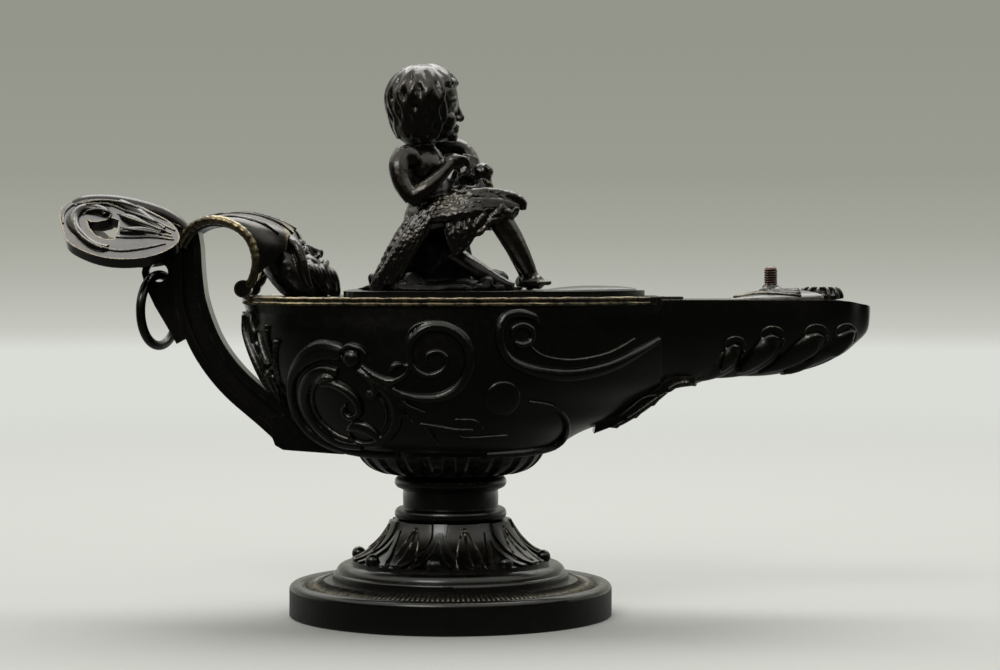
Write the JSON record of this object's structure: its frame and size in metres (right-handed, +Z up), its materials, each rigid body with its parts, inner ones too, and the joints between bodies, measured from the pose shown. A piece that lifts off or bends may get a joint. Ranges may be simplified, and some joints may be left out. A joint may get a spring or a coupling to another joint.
{
  "type": "oil lamp",
  "caption": "Antique-style bronze oil lamp: boat-shaped bowl with nozzle on a turned foot, scroll handle with hood and ring, hinged lid with seated child.",
  "frame": {"origin": "centre of the foot's underside, on the surface that the lamp stands on", "axes": "+X towards the nozzle's tip, +Z up, +Y to the far side of the lamp as pictured"},
  "size_m": [0.2144, 0.086, 0.1462],
  "materials": {
    "bronze_dark": "near-black to dark brown patina over cast bronze, rubbed to a warm brown on the high edges",
    "bronze_worn": "brown patina worn through to a warm gold on edges and folds",
    "bronze_olive": "olive-tinted patina, satin",
    "bronze_red": "reddish brown threaded brass, satin",
    "solder_pale": "pale soft solder, uneven"
  },
  "bodies": {
    "lamp": {"back_leaf": "bronze_olive", "bowl": "bronze_dark", "collar_ribs": "bronze_dark", "deck_leaf": "bronze_dark", "fluted_cup": "bronze_dark", "foot_dome": "bronze_dark", "foot_plinth": "bronze_dark", "foot_step_ring": "bronze_dark", "handle_foot": "bronze_dark", "handle_hood": "bronze_worn", "handle_mask": "bronze_worn", "handle_strap": "bronze_dark", "hinge_leaf": "bronze_dark", "hinge_pin": "bronze_red", "mask_rivets": "bronze_red", "nozzle": "bronze_dark", "nozzle_gadroons": "bronze_dark", "nozzle_leaf": "bronze_dark", "nozzle_stud": "bronze_red", "rim_band": "bronze_dark", "ring_lug": "bronze_dark", "scrolls_far": "bronze_olive", "scrolls_near": "bronze_olive", "stem_knop": "bronze_dark", "stud_solder": "solder_pale", "thumb_spray": "bronze_worn", "tie_nut": "bronze_red", "tie_rod": "bronze_red", "tie_washer": "bronze_red", "wick_collar": "bronze_dark"},
    "lid": {"lid": "bronze_dark", "rock": "bronze_worn", "child": "bronze_worn", "pet": "bronze_worn", "figure_screw": "bronze_red"},
    "ring": {"hanging_ring": "bronze_dark"}
  },
  "joints": [
    {"name": "lid_hinge", "type": "hinge", "parent": "lamp", "child": "lid", "pos_m": [0.05485, 0, 0.0831], "axis": [0, 1, 0], "range_deg": [0, 95]},
    {"name": "ring_swing", "type": "hinge", "parent": "lamp", "child": "ring", "pos_m": [-0.0776, 0, 0.0912], "axis": [0, 1, 0], "range_deg": [0, 70]}
  ]
}
